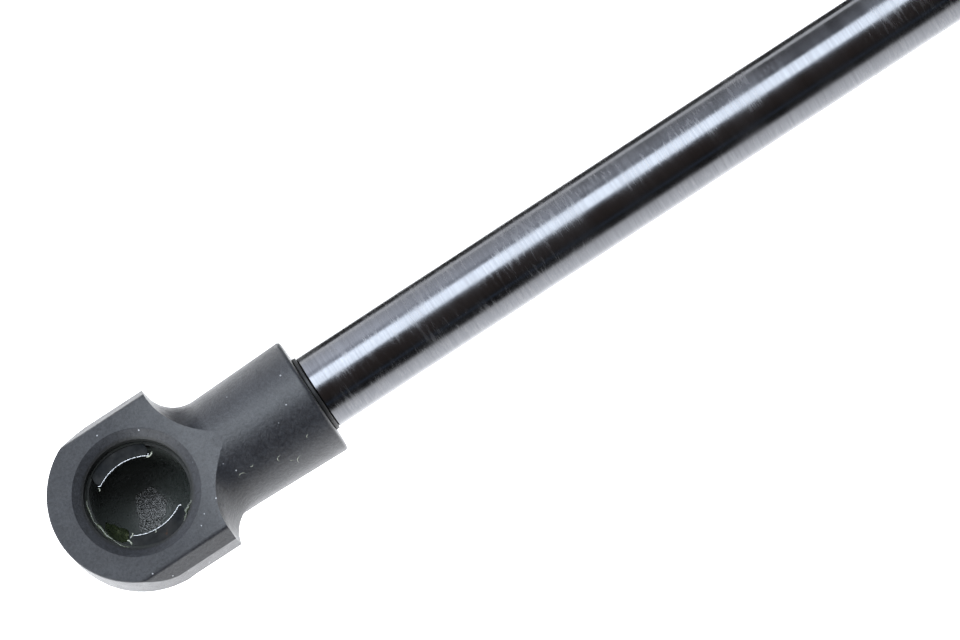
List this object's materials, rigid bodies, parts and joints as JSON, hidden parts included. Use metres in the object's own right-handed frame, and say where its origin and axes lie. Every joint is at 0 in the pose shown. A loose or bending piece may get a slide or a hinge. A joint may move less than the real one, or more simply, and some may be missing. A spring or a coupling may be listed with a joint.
{
  "type": "gas strut stay",
  "caption": "Gas spring stay: black pressure tube, polished piston rod and a clip-held plastic ball socket at each end, both mouths facing the same way.",
  "frame": {"origin": "ball centre of the rod-end socket", "axes": "+X along the strut axis from the rod end to the tube end, +Z out of both socket mouths, +Y completes the right-handed frame"},
  "size_m": [0.3181, 0.018, 0.018],
  "materials": {
    "socket_plastic": "matte, fine moulded grain",
    "clip_steel": "blued spring steel",
    "washer_black": "satin",
    "rod_steel": "ground and polished",
    "tube_paint": "satin black",
    "seal_rubber": "satin",
    "guide_plastic": "natural acetal",
    "bush_bronze": "satin",
    "inner_steel": "turned",
    "piston_metal": "die cast",
    "ring_plastic": "filled PTFE"
  },
  "bodies": {
    "cylinder": {"pressure_tube": "tube_paint", "wiper_ring": "seal_rubber", "front_guide": "guide_plastic", "guide_bush": "bush_bronze", "guide_oring": "seal_rubber", "rod_seal": "seal_rubber", "seal_support_washer": "inner_steel", "end_plug": "inner_steel", "plug_oring": "seal_rubber", "tube_socket": "socket_plastic", "tube_socket_clip": "clip_steel", "tube_washer": "washer_black"},
    "floating_ring": {"piston_ring": "ring_plastic"},
    "rod": {"piston_rod": "rod_steel", "rod_socket": "socket_plastic", "rod_socket_clip": "clip_steel", "rod_washer": "washer_black", "rebound_buffer": "seal_rubber", "stop_washer": "inner_steel", "piston": "piston_metal", "damping_disc": "inner_steel", "piston_backing_washer": "inner_steel"}
  },
  "joints": [
    {"name": "rod_stroke", "type": "slide", "parent": "cylinder", "child": "floating_ring", "axis": [1, 0, 0], "range_m": [0, 0.1], "stiffness_N_per_m": 200, "springref_m": -0.4},
    {"name": "rod_turn", "type": "hinge", "parent": "floating_ring", "child": "rod", "pos_m": [0.15, 0, 0], "axis": [1, 0, 0], "continuous": true}
  ]
}
